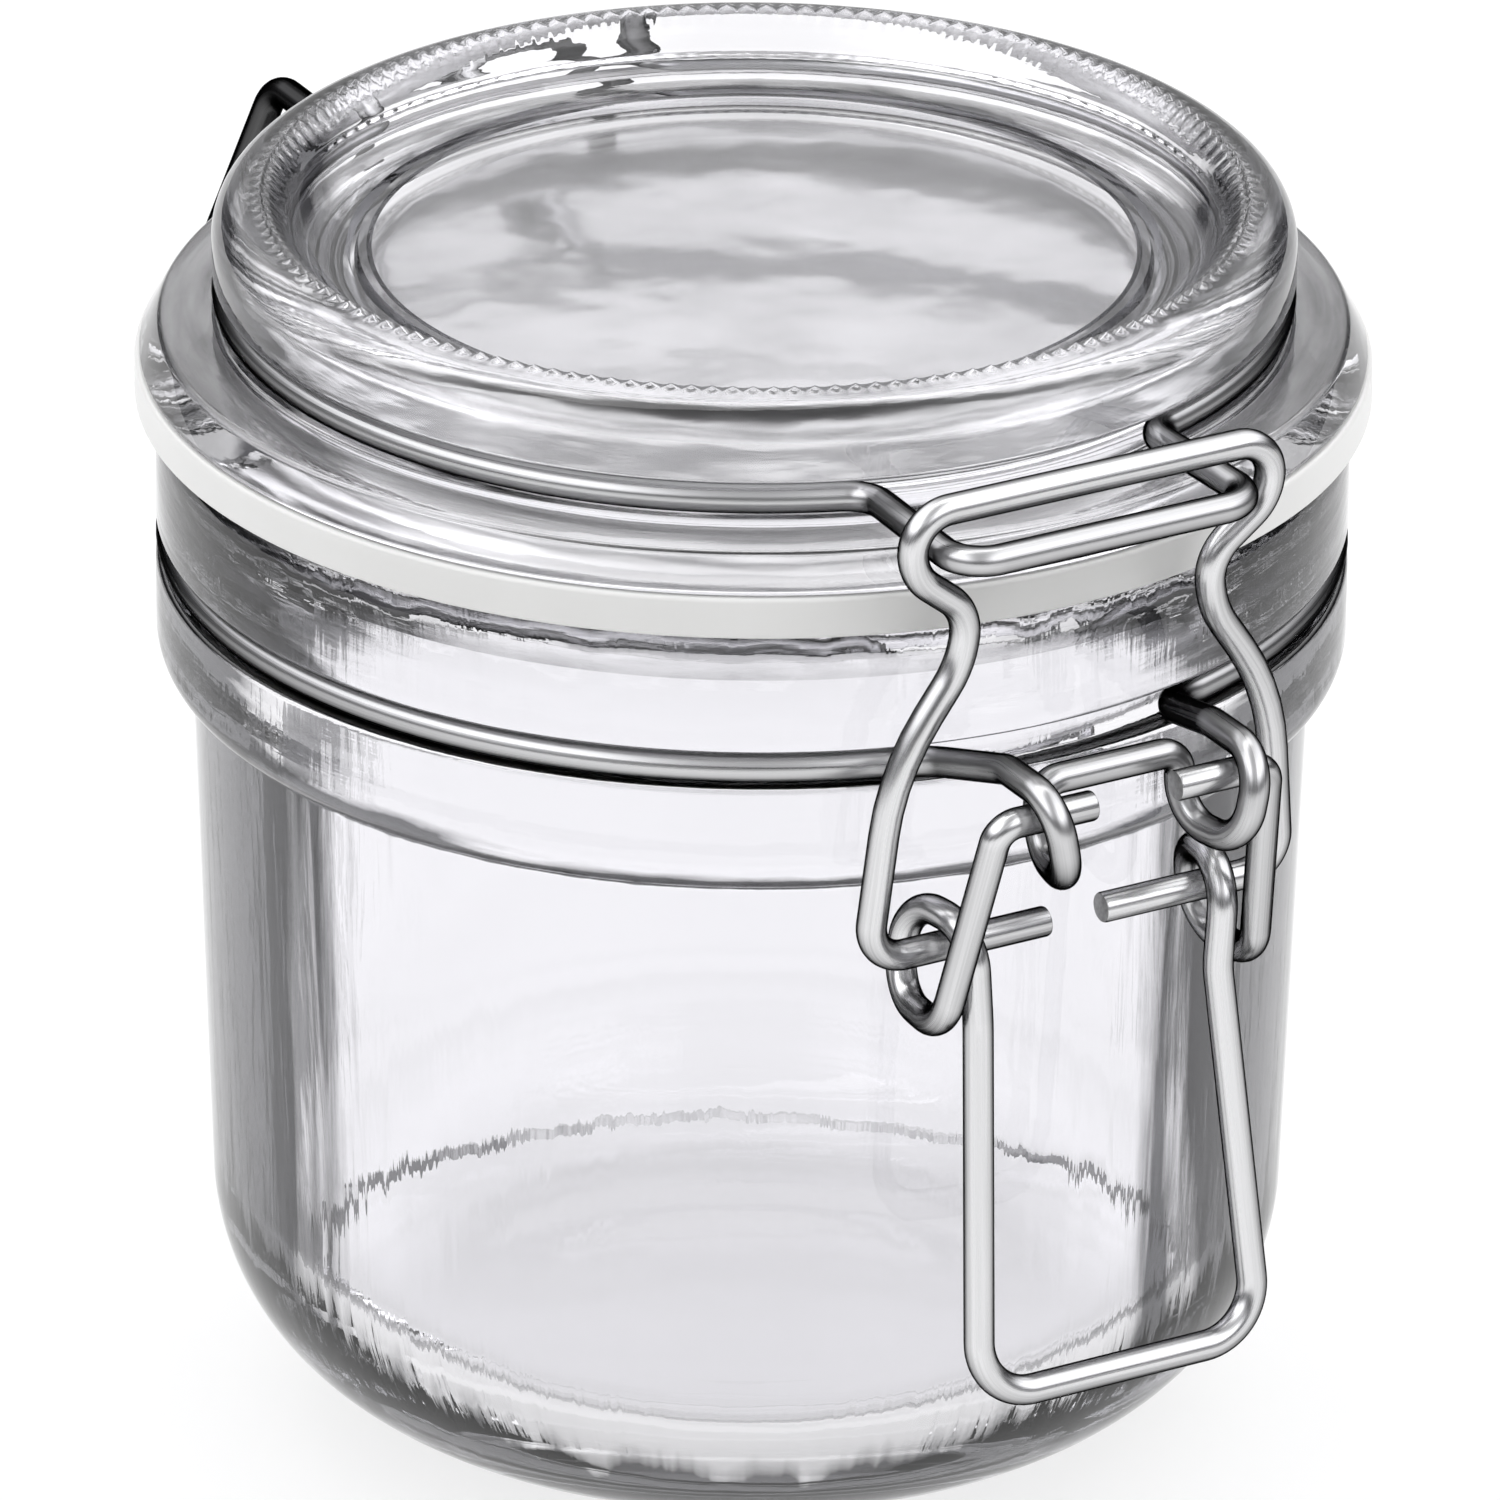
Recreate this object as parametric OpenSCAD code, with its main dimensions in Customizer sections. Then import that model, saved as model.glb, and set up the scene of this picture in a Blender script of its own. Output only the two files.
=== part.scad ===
// Clip-top preserving jar: a glass jar and lid with a rubber ring between them,
// held shut by a lid wire, a neck wire, a spring bail and an over-centre lever.
// Origin at the centre of the base, +Z up, the clasp at -Y and the hinge at +Y. Millimetres.

/* [Jar glass] */
// Height of the glass from the table to its sealing lip
jar_h = 83.3; // [76:0.1:140]
// Outer diameter of the two rings round the neck
neck_d = 92.8; // [80:0.2:120]
// Step from the neck rings in to the body
ring_step = 2.8; // [2.4:0.1:4]
// Amount by which the body's radius shrinks from the neck rings down to the heel
body_taper = 1.5; // [0:0.1:4]
// Radius of the rounded heel
heel_r = 18; // [8:0.5:22]
// Radius of the heel inside the jar
inner_heel_r = 13; // [6:0.5:16]
// Thickness of the glass wall
wall_t = 4; // [3.4:0.1:5]
// Thickness of the glass floor at the middle
floor_t = 6.5; // [4:0.1:9]
// Width of the flat ring that the jar stands on
bearing_w = 4; // [2:0.1:6]
// Depth of the hollow under the base
push_up = 0.5; // [0.4:0.1:3]
// Drop from the sealing lip to the middle of the neck wire's groove
neck_groove_drop = 11.7; // [9:0.1:15]
// Height of the lower neck ring below its wire groove
lower_ring_h = 9.2; // [6:0.1:14]
// Radius that rounds the underside of the lower neck ring
ring_round = 6; // [4:0.1:8]
// Width of the sealing lip, from the neck rings in to the mouth
lip_w = 6.2; // [5.6:0.1:6.8]
// Radius that rounds the outside of the sealing lip
lip_round = 3; // [1:0.1:4]
// Radius that rounds the inner edge of the mouth
mouth_round = 0.8; // [0.3:0.1:1.2]

/* [Lid glass] */
// Distance of the flange's edge inside the edge of the neck rings
flange_set = 0; // [0:0.1:1.4]
// Width of the flange outside the rim
flange_w = 4.4; // [3:0.1:5]
// Thickness of the flange at its edge
flange_t = 3.1; // [1.6:0.1:3.2]
// Height of the lid above the rubber ring
lid_h = 12.8; // [11.8:0.1:16]
// Height of the lid wire's groove above the rubber ring
lid_groove_rise = 5.2; // [4.8:0.1:6]
// Radius that rounds the outside of the rim's top
rim_round = 3.3; // [2:0.1:3.6]
// Width of the flat on top of the rim
rim_flat = 1.2; // [0.6:0.1:2]
// Width of the bevel on the inside of the rim's top
rim_bevel = 1.2; // [0.6:0.1:1.6]
// Width of the rim and its inner slope, from the outside of the rim in to the disc
rim_w = 10.9; // [9:0.1:14]
// Depth of the disc below the top of the rim
disc_sink = 4.2; // [3.6:0.1:5]
// Height of the disc's middle above its edge
disc_dome = 0.3; // [0:0.1:0.6]
// Width of the fine groove round the disc
disc_line_w = 0.9; // [0.5:0.1:1.4]
// Thickness of the glass at the disc
web_t = 5; // [4:0.1:6]
// Gap between the plug under the lid and the mouth
plug_play = 1.3; // [0.8:0.1:2]
// Thickness of the plug's wall
plug_t = 3; // [2.4:0.1:4]
// Depth of the plug below the sealing lip
plug_dip = 0.4; // [0:0.1:0.8]

/* [Rubber ring] */
// Overhang of the rubber ring outside the neck rings
gasket_over = 1.6; // [0.4:0.1:3]
// Thickness of the rubber ring
gasket_t = 3.4; // [2.4:0.1:4.5]
// Radius that rounds the outer edge of the rubber ring
gasket_round = 0.4; // [0.3:0.1:1]
// Gap between the rubber ring and the plug that it sits round
gasket_play = 0.3; // [0.1:0.05:0.6]

/* [Wire] */
// Diameter of the steel wire
wire_d = 2.4; // [2:0.1:2.6]
// Gap between a wire ring and the groove that it lies in
groove_play = 0.25; // [0.1:0.05:0.5]
// Gap between a pin and the eye that it turns in
pin_play = 0.3; // [0.2:0.05:0.5]
// Radius of the usual bends, at the middle of the wire
bend_r = 3; // [2.4:0.1:3.4]
// Radius of the tightest bends, at the middle of the wire
tight_r = 1.8; // [1.5:0.1:2]
// Extra diameter of the wire where it is bent
bend_swell = 0.03; // [0.03:0.01:0.05]

/* [Neck wire] */
// Half the width at which the wire leaves its groove, in front and behind
exit_x = 10.8; // [9.4:0.1:11.4]
// Radius of the eyes, at the middle of the wire
eye_r = 3.6; // [3.5:0.1:4]
// Distance of the eyes' outer turns from the middle plane
eye_x = 9; // [8.4:0.1:9.2]
// Sideways shift of the wire along each eye
eye_pitch = 2.8; // [2.8:0.1:3.2]
// Reach of the front eyes' middle outside the neck rings
eye_reach = 11.6; // [10.8:0.1:12.5]
// Height of the front eyes' middle above the neck groove
eye_lift = -0.7; // [-1.2:0.1:0.4]
// Height of the bar that joins the front eyes above their middle
bridge_lift = 1.9; // [1.9:0.1:2.2]
// Reach of the rear eyes' middle outside the neck rings
hinge_reach = 13.1; // [11.5:0.1:15]
// Height of the rear eyes' middle above the neck groove
hinge_lift = 0.5; // [-0.5:0.1:1]

/* [Lid wire] */
// Half the width of the front catch
catch_x = 12.9; // [12.4:0.1:13.2]
// Distance by which the catch widens from the lid to its front bar
catch_flare = 0.6; // [0:0.1:1]
// Gap between the front bar of the catch and the bail that hooks behind it
catch_gap = 0.4; // [0.3:0.1:0.8]
// Half the width of the rear legs where they leave the lid
leg_x = 13.5; // [12:0.1:14]
// Half the width of the rear legs at the hinge
hinge_x = 17; // [16.4:0.1:19]
// Gap between the rear legs' knees and the rubber ring
leg_gap = 3.4; // [2.4:0.1:6]
// Rise of the rear legs' knees above the lid groove
knee_rise = 0.4; // [0:0.1:1.2]
// Length of the hinge pins that turn in the rear eyes
hinge_pin_l = 11; // [10:0.1:13]

/* [Bail] */
// Gap between the bail's top bar and the catch below it
hook_gap = 1.2; // [1.2:0.05:2]
// Gap between the bail and the rubber ring
bail_gap = 2.2; // [1.6:0.1:4]
// Half the width of the bail at its top corners
bail_top_x = 16; // [15.8:0.1:17.6]
// Distance by which the bail narrows from its top corners to its shoulders
shoulder_in = 0.6; // [0:0.1:1]
// Drop from the top bar to the bail's shoulders
shoulder_drop = 5.1; // [4.8:0.1:5.6]
// Half the width of the bail at the inner spring bends
spring_x = 10.5; // [9.6:0.1:11]
// Drop from the top bar to the inner spring bends
spring_drop = 9; // [8.6:0.1:9.6]
// Length of the inner spring bends
spring_l = 4.4; // [4.2:0.1:5.2]
// Distance by which the inner spring bends widen downwards
spring_out = 0.6; // [0.2:0.1:1]
// Radius of the spring bends, at the middle of the wire
spring_r = 2.3; // [1.8:0.1:2.6]
// Drop from the top bar to the start of the straight legs
flare_drop = 21.4; // [20:0.1:23]
// Half the width of the bail at the start of the straight legs
flare_x = 16.6; // [16.4:0.1:17.8]
// Radius of the bend at the start of the straight legs
flare_r = 9; // [6:0.5:10]
// Half the width of the bail at its pins
bail_low_x = 18.2; // [18:0.1:19.6]
// Length of the bail's pins
bail_pin_l = 15.8; // [15:0.1:17]

/* [Lever] */
// Distance of the bail's pins inside the lever's pivot
pin_inset = 8.6; // [7:0.1:8.8]
// Drop from the lever's pivot to the bail's pins
pin_drop = 13.4; // [12.8:0.1:14.5]
// Radius of the lever's loops, at the middle of the wire
loop_r = 3.9; // [3.5:0.1:4]
// Half the width of the lever at its pivot
arm_x = 11.8; // [11.8:0.1:12.2]
// Half the width of the lever where its loops begin
loop_x = 13.8; // [13.4:0.1:14]
// Sideways shift of the wire round each loop
loop_pitch = 3.2; // [3:0.1:3.3]
// Length of the pivot pins that turn in the front eyes
pivot_pin_l = 8.2; // [7.8:0.1:9]
// Half the width of the handle at its lower corners
handle_x = 12.4; // [11.6:0.1:14]
// Drop from the pivot to the handle's lower bar
handle_drop = 48.4; // [40:0.1:58]
// Distance that the handle's lower bar stands out from the loops
handle_out = 4; // [0:0.1:6]
// Radius of the handle's lower corners
handle_r = 4.5; // [3:0.1:6]
// Radius of the bend between a loop and the handle
leg_bend_r = 8; // [4:0.5:10]

/* [Hidden] */
$fn = 40;

// Heights that the pieces share
lip_z = jar_h;
neck_groove_z = lip_z - neck_groove_drop;
ring_low_z = neck_groove_z - lower_ring_h;
gasket_top_z = lip_z + gasket_t;
lid_groove_z = gasket_top_z + lid_groove_rise;
lid_top_z = gasket_top_z + lid_h;
disc_z = lid_top_z - disc_sink;

// Radii that the pieces share
wire_r = wire_d / 2;
groove_r = wire_r + groove_play;
neck_r = neck_d / 2;
neck_wire_r = neck_r - wire_r;
body_top_r = neck_r - ring_step;
body_low_r = body_top_r - body_taper;
mouth_r = neck_r - lip_w;
flange_r = neck_r - flange_set;
rim_r = flange_r - flange_w;
lid_wire_r = rim_r - wire_r;
disc_r = rim_r - rim_w;
plug_r = mouth_r - plug_play;
gasket_r = neck_r + gasket_over;
edge_ease = 0.5;

// Runs of wire: the tangent run where a ring leaves its groove, the lap of a straight run into a bend,
// and how much tighter the bends of an eye or a loop are than the eye itself
exit_run = 1.3 * bend_r;
lap = wire_d / 16;
turn_ease = wire_d / 8;

// Hinge axes: the front pivot, the bail's pins and the rear hinge, as [y, z]
eye_seat = eye_r - wire_d - pin_play;
front_eye = [-(neck_r + eye_reach), neck_groove_z + eye_lift];
pivot = [front_eye.x, front_eye.y + eye_seat];
loop_seat = loop_r - wire_d - pin_play;
pin = [pivot.x + pin_inset, pivot.y - pin_drop];
loop_mid = [pin.x, pin.y - loop_seat];
rear_eye = [neck_r + hinge_reach, neck_groove_z + hinge_lift];
hinge = [rear_eye.x, rear_eye.y + eye_seat];

// The bail's top bar and the catch that it hooks behind, as [y, z]
bar = [-(gasket_r + bail_gap + wire_r), lid_groove_z + wire_d + hook_gap];
catch_bar = [bar.x - wire_d - catch_gap, lid_groove_z];

// Points of an arc round c in the profile plane, from angle a to angle b
function arc(c, r, a, b, n = 8) =
    [for (i = [0:n]) c + r * [cos(a + (b - a) * i / n), sin(a + (b - a) * i / n)]];

// Profile of a groove for a wire ring, its edges eased, from below to above
function wire_groove(c, surface_r) = concat(
    [[surface_r, c.y - groove_r - edge_ease], [surface_r - edge_ease, c.y - groove_r]],
    arc(c, groove_r, 270, 90, 10),
    [[surface_r - edge_ease, c.y + groove_r], [surface_r, c.y + groove_r + edge_ease]]);

function unit(v) = v / norm(v);
function turn(a, b, c) = acos(max(-1, min(1, unit(b - a) * unit(c - b))));
function bend_reach(p, r, i) = r[i] * tan(turn(p[i - 1], p[i], p[i + 1]) / 2);
function reversed(list) = [for (i = [len(list) - 1:-1:0]) list[i]];
function mirrored(points) = [for (p = points) [-p.x, p.y, p.z]];

// Places its children at o with the axes x and y
module placed(o, x, y) {
    z = cross(x, y);
    multmatrix([[x.x, y.x, z.x, o.x], [x.y, y.y, z.y, o.y], [x.z, y.z, z.z, o.z]]) children();
}

// A straight piece of wire from a to b
module straight(a, b) {
    d = unit(b - a);
    side = unit(cross(abs(d.z) < 0.9 ? [0, 0, 1] : [1, 0, 0], d));
    placed(a, side, cross(d, side)) cylinder(h = norm(b - a), d = wire_d);
}

// A bend of radius r at the corner b between the corners a and c
module bend(a, b, c, r) {
    d_in = unit(b - a);
    d_out = unit(c - b);
    angle = turn(a, b, c);
    inward = unit(d_out - d_in * (d_in * d_out));
    start = b - d_in * r * tan(angle / 2);
    placed(start + inward * r, -inward, d_in)
        rotate_extrude(angle = angle, $fn = r > neck_wire_r / 2 ? 144 : 60)
            translate([r, 0])
                circle(d = wire_d + bend_swell);
}

// A bent wire through the corners p with the bend radii r. The straight runs lap into the bends.
module bent_wire(p, r) {
    last = len(p) - 1;
    for (i = [0:last - 1]) {
        d = unit(p[i + 1] - p[i]);
        a = i == 0 ? p[i] : p[i] + d * (bend_reach(p, r, i) - lap);
        b = i == last - 1 ? p[i + 1] : p[i + 1] - d * (bend_reach(p, r, i + 1) - lap);
        straight(a, b);
    }
    for (i = [1:last - 1]) bend(p[i - 1], p[i], p[i + 1], r[i]);
}

// The angle from the middle plane where a wire ring of radius r leaves its groove to turn outwards at x
function exit_angle(r, x) = asin(x / norm([r, exit_run])) + atan(exit_run / r);
// The corner of that turn, in front
function exit_corner(r, x) = let (a = exit_angle(r, x)) [x, -(r * cos(a) + exit_run * sin(a))];
// The corner far outside the ring where the tangents at its front and rear exits meet
function ring_corner(r, x_front, x_rear) =
    let (a = exit_angle(r, x_front), b = 180 - exit_angle(r, x_rear), mid = (a + b) / 2)
    r / cos((b - a) / 2) * [sin(mid), -cos(mid)];

module jar_body() {
    heel = [body_low_r - heel_r, heel_r];
    inner_low_r = body_low_r - wall_t;
    inner_heel = [inner_low_r - inner_heel_r, floor_t + inner_heel_r];
    ring_arc_r = neck_r - ring_round;
    ring_meets = -acos((body_top_r - ring_arc_r) / ring_round);
    bearing_r = heel.x - bearing_w;
    color([0.86, 0.89, 0.9, 0.45])
        rotate_extrude($fn = 120)
            polygon(concat(
                [[0, push_up], [bearing_r - 2 * push_up, push_up], [bearing_r, 0]],
                arc(heel, heel_r, -90, 0, 12),
                arc([ring_arc_r, ring_low_z], ring_round, ring_meets, 0),
                wire_groove([neck_wire_r, neck_groove_z], neck_r),
                arc([neck_r - lip_round, lip_z - lip_round], lip_round, 0, 90, 6),
                arc([mouth_r + mouth_round, lip_z - mouth_round], mouth_round, 90, 180, 4),
                [[mouth_r, neck_groove_z], [body_top_r - wall_t, ring_low_z]],
                arc(inner_heel, inner_heel_r, 0, -90, 10),
                [[0, floor_t]]));
}

module lid() {
    flange_top_z = gasket_top_z + flange_t;
    flange_round = flange_t / 4;
    rim_arc = [rim_r - rim_round, lid_top_z - rim_round];
    slope = [disc_r + disc_line_w / 2, disc_z];
    slope_end = [rim_arc.x - rim_flat - rim_bevel, lid_top_z - rim_bevel];
    run = slope_end - slope;
    slope_r = (run.x * run.x + run.y * run.y) / (2 * run.y);
    slope_turn = 2 * atan(run.y / run.x);
    web_z = disc_z - web_t;
    plug_low_z = lip_z - plug_dip;
    under_r = web_z - plug_low_z;
    color([0.86, 0.89, 0.9, 0.45])
        rotate_extrude($fn = 120)
            polygon(concat(
                [[0, web_z]],
                arc([plug_r - plug_t - under_r, plug_low_z], under_r, 90, 0),
                [[plug_r - edge_ease, plug_low_z], [plug_r, plug_low_z + edge_ease], [plug_r, gasket_top_z]],
                arc([flange_r - flange_round, gasket_top_z + flange_round], flange_round, -90, 0, 4),
                arc([flange_r - flange_round, flange_top_z - flange_round], flange_round, 0, 90, 4),
                [[rim_r + flange_w / 3, flange_top_z + edge_ease / 4]],
                wire_groove([lid_wire_r, lid_groove_z], rim_r),
                arc(rim_arc, rim_round, 0, 90),
                [[rim_arc.x - rim_flat, lid_top_z]],
                arc(slope + [0, slope_r], slope_r, slope_turn - 90, -90),
                [[disc_r, disc_z - disc_line_w / 2], [disc_r - disc_line_w / 2, disc_z], [0, disc_z + disc_dome]]));
}

module gasket() {
    outer = gasket_r - gasket_round;
    color([0.93, 0.93, 0.91])
        rotate_extrude($fn = 120)
            polygon(concat(
                [[plug_r + gasket_play, lip_z]],
                arc([outer, lip_z + gasket_round], gasket_round, -90, 0, 4),
                arc([outer, gasket_top_z - gasket_round], gasket_round, 0, 90, 4),
                [[plug_r + gasket_play, gasket_top_z]]));
}

// A wire bent alike on both sides of the middle plane, from the corners and bend radii of its right half
module symmetric_wire(half, radii) {
    bent_wire(concat(reversed(mirrored(half)), half), concat(reversed(radii), radii));
}

// One wire round the neck: two eyes joined by a bar in front, and an eye at each end behind
module neck_wire() {
    turn_r = eye_r - turn_ease;
    z = neck_groove_z;
    exit_y = exit_corner(neck_wire_r, exit_x).y;
    side = ring_corner(neck_wire_r, exit_x, exit_x);
    f = front_eye;
    b = rear_eye;
    in_x = eye_x - eye_pitch;
    out_x = eye_x + eye_pitch;
    half = [
        [in_x, f.x + eye_r, f.y + bridge_lift],
        [in_x, f.x + eye_r, f.y - eye_r],
        [eye_x - eye_pitch / 2, f.x - eye_r, f.y - eye_r],
        [eye_x, f.x - eye_r, f.y + eye_r],
        [eye_x, f.x + eye_r, f.y + eye_r],
        [exit_x, exit_y, z],
        [side.x, side.y, z],
        [exit_x, -exit_y, z],
        [eye_x, b.x - eye_r, b.y + eye_r],
        [eye_x, b.x + eye_r, b.y + eye_r],
        [eye_x + eye_pitch / 2, b.x + eye_r, b.y - eye_r],
        [out_x, b.x - eye_r, b.y - eye_r],
        [out_x, b.x - eye_r, b.y + wire_r]];
    radii = [tight_r, turn_r, turn_r, turn_r, turn_r, bend_r, neck_wire_r,
        bend_r, turn_r, turn_r, turn_r, turn_r, 0];
    color([0.72, 0.73, 0.75]) symmetric_wire(half, radii);
}

// One wire round the lid: the catch bows out in front, and two legs behind end in the hinge pins
module lid_wire() {
    z = lid_groove_z;
    catch_exit = exit_corner(lid_wire_r, catch_x - catch_flare);
    leg_exit = exit_corner(lid_wire_r, leg_x);
    side = ring_corner(lid_wire_r, catch_exit.x, leg_x);
    half = [
        [catch_x, catch_bar.x, catch_bar.y],
        [catch_exit.x, catch_exit.y, z],
        [side.x, side.y, z],
        [leg_x, -leg_exit.y, z],
        [leg_x, gasket_r + leg_gap + wire_r, z + knee_rise],
        [hinge_x, hinge.x, hinge.y],
        [hinge_x - hinge_pin_l, hinge.x, hinge.y]];
    radii = [bend_r, bend_r, lid_wire_r, bend_r, bend_r, bend_r, 0];
    color([0.72, 0.73, 0.75]) symmetric_wire(half, radii);
}

// A corner of the bail at the half width x and the given drop below its top bar
function bail_corner(x, drop) =
    [x, bar.x + (pin.x - bar.x) * drop / (bar.y - pin.y), bar.y - drop];

// The spring bail: a top bar, two spring bends, flared legs and pins that point inwards
module bail() {
    half = [
        bail_corner(bail_top_x, 0),
        bail_corner(bail_top_x - shoulder_in, shoulder_drop),
        bail_corner(spring_x, spring_drop),
        bail_corner(spring_x + spring_out, spring_drop + spring_l),
        bail_corner(flare_x, flare_drop),
        [bail_low_x, pin.x, pin.y],
        [bail_low_x - bail_pin_l, pin.x, pin.y]];
    radii = [bend_r, spring_r, spring_r, spring_r, flare_r, bend_r, 0];
    color([0.78, 0.79, 0.81]) symmetric_wire(half, radii);
}

// The over-centre lever: pivot pins, arms, loops round the bail's pins, and a handle
module lever() {
    turn_r = loop_r - turn_ease;
    front_y = loop_mid.x - loop_r;
    back_y = loop_mid.x + loop_r;
    top_z = loop_mid.y + loop_r;
    low_z = loop_mid.y - loop_r;
    in_x = loop_x - loop_pitch;
    half = [
        [handle_x, front_y - handle_out, pivot.y - handle_drop],
        [in_x, front_y, low_z],
        [in_x + loop_pitch / 6, front_y, top_z],
        [loop_x - loop_pitch / 2, back_y, top_z],
        [loop_x - loop_pitch / 6, back_y, low_z],
        [loop_x, front_y, low_z],
        [arm_x, pivot.x, pivot.y],
        [arm_x - pivot_pin_l, pivot.x, pivot.y]];
    radii = [handle_r, leg_bend_r, turn_r, turn_r, turn_r, turn_r, tight_r, 0];
    color([0.78, 0.79, 0.81]) symmetric_wire(half, radii);
}

jar_body();
lid();
gasket();
neck_wire();
lid_wire();
bail();
lever();
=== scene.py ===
"""Clip-top glass jar: pressed clear glass, a milky rubber ring and drawn steel wires on a pale studio floor."""

import math

import bmesh
import bpy
from mathutils import Matrix
from mathutils import Vector


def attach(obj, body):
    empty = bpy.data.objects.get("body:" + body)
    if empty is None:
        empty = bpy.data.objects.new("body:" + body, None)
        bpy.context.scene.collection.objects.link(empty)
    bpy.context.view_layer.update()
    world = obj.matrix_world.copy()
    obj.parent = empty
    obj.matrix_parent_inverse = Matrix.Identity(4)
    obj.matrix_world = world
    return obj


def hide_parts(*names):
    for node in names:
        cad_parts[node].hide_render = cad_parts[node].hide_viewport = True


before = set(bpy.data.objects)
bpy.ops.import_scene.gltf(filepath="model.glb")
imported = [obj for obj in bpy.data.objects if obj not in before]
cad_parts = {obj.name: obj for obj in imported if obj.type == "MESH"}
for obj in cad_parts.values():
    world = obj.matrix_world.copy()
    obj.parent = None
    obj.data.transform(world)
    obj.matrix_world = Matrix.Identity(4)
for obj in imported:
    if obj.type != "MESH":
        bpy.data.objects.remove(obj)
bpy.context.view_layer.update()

MM = 0.001


# Camera

CAMERA_AZIMUTH = math.radians(-30.0)
CAMERA_ELEVATION = math.radians(24.5)
CAMERA_DISTANCE = 1.5
CAMERA_TARGET = Vector((0.0, 0.0, 0.0524))
CAMERA_LENS = 460.0
CAMERA_SENSOR = 36.0
CAMERA_ROLL = math.radians(0.5)

# Level directions as the camera stands at rest, by which the studio is set up
TO_THE_RIGHT = (math.cos(CAMERA_AZIMUTH), math.sin(CAMERA_AZIMUTH), 0.0)
STRAIGHT_AHEAD = (-math.sin(CAMERA_AZIMUTH), math.cos(CAMERA_AZIMUTH), 0.0)


def make_camera():
    """The photograph's view: a long lens from the front left, looking down on the lid."""
    data = bpy.data.cameras.new("camera")
    data.lens = CAMERA_LENS
    data.sensor_width = CAMERA_SENSOR
    data.clip_start = 0.01
    data.clip_end = 100.0
    camera = bpy.data.objects.new("camera", data)
    bpy.context.collection.objects.link(camera)
    back = Vector((
        math.sin(CAMERA_AZIMUTH) * math.cos(CAMERA_ELEVATION),
        -math.cos(CAMERA_AZIMUTH) * math.cos(CAMERA_ELEVATION),
        math.sin(CAMERA_ELEVATION),
    ))
    camera.location = CAMERA_TARGET + back * CAMERA_DISTANCE
    aim = (-back).to_track_quat("-Z", "Y").to_matrix() @ Matrix.Rotation(CAMERA_ROLL, 3, "Z")
    camera.rotation_euler = aim.to_euler()
    bpy.context.scene.camera = camera


make_camera()


# Sizes in millimetres: those of the solids, apart from the finer shapes that a comment names

GROOVE_R = 1.45
EDGE_EASE = 0.5
NEAR = 0.1

# Jar. Its lower ring ends higher than the solid's
LIP_Z = 83.3
LIP_ROUND = 3.0
# Height of the band under the lip whose glass is painted with shade
LIP_PAINTED_SHADE_H = 4.0
MOUTH_R = 40.2
NECK_R = 46.4
NECK_GROOVE_Z = 71.6
RING_LOW_Z = 64.2
RING_ROUND = 3.4
RING_FILLET = 0.8
BODY_TOP_R = 43.6
BODY_LOW_R = 42.1
HEEL_R = 18.0
BEARING_W = 4.0
PUSH_UP = 0.5
WALL_T = 4.0
FLOOR_Z = 6.5
INNER_HEEL_R = 13.0
INNER_HEEL = (BODY_LOW_R - WALL_T - INNER_HEEL_R, FLOOR_Z + INNER_HEEL_R)
JAR_SEGMENTS = 240

# Seat inside the mouth, finer than the solid. Waves are a size, a count round the jar and a start in radians
SEAT_W = 2.2
SEAT_H = 5.9
SEAT_EASE = 0.3
SEAT_KNEE = 0.7
SEAT_WAVES = [(0.25, 3, 0.0), (0.12, 31, 0.0), (0.1, 47, 0.0)]

# Crease round the inner floor, finer than the solid. Its waves are in degrees along the inner heel
CREASE_R = 31.5
CREASE_W = 1.2
CREASE_H = 0.6
CREASE_EVEN = 0.6
CREASE_HIGH = math.radians(105.0)
CREASE_TURN = math.degrees(math.acos((CREASE_R - INNER_HEEL[0]) / INNER_HEEL_R))
CREASE_WAVES = [(11.0, 2, math.radians(150.0)), (1.6, 5, 2.1), (0.8, 23, 0.0), (0.4, 61, 0.0)]
FLOOR_GLASS_R = CREASE_R + 2.0
FLOOR_GLASS_Z = FLOOR_Z + 4.0

# Rubber ring, with a film of air between it and the glass
GASKET_R = 48.0
GASKET_TOP_Z = 86.7
GASKET_ROUND = 0.4
GASKET_PLAY = 0.3
GASKET_FILM = 0.03
GASKET_SEGMENTS = 192

# Lid. The slope of its flange's edge, the fine line and the beads are finer than the solid
PLUG_R = 38.9
PLUG_LOW_Z = 82.9
PLUG_T = 3.0
WEB_Z = 90.3
FLANGE_R = 46.4
FLANGE_LOW_R = 47.6
FLANGE_T = 3.1
RIM_R = 42.0
RIM_ROUND = 3.3
RIM_FOOT_W = 1.4
RIM_FOOT_H = 0.12
RIM_SHOULDER_W = 2.4
RIM_SHOULDER_H = 1.2
LID_GROOVE_Z = 91.9
LID_TOP_Z = 99.5
DISC_R = 31.1
DISC_Z = 95.3
DISC_DOME = 0.3
DISC_LINE_W = 0.9
DISC_LINE_BED = 0.3
FINE_LINE_R = 29.8
FINE_LINE_W = 0.4
FINE_LINE_H = 0.3
BEADS = 153
BEAD_R = 38.1
BEAD_W = 1.7
BEAD_H = 0.4
BEAD_LOOPS = 4
BEAD_LOOP_GAP = 0.3
BEAD_SEGMENTS = 4

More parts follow.
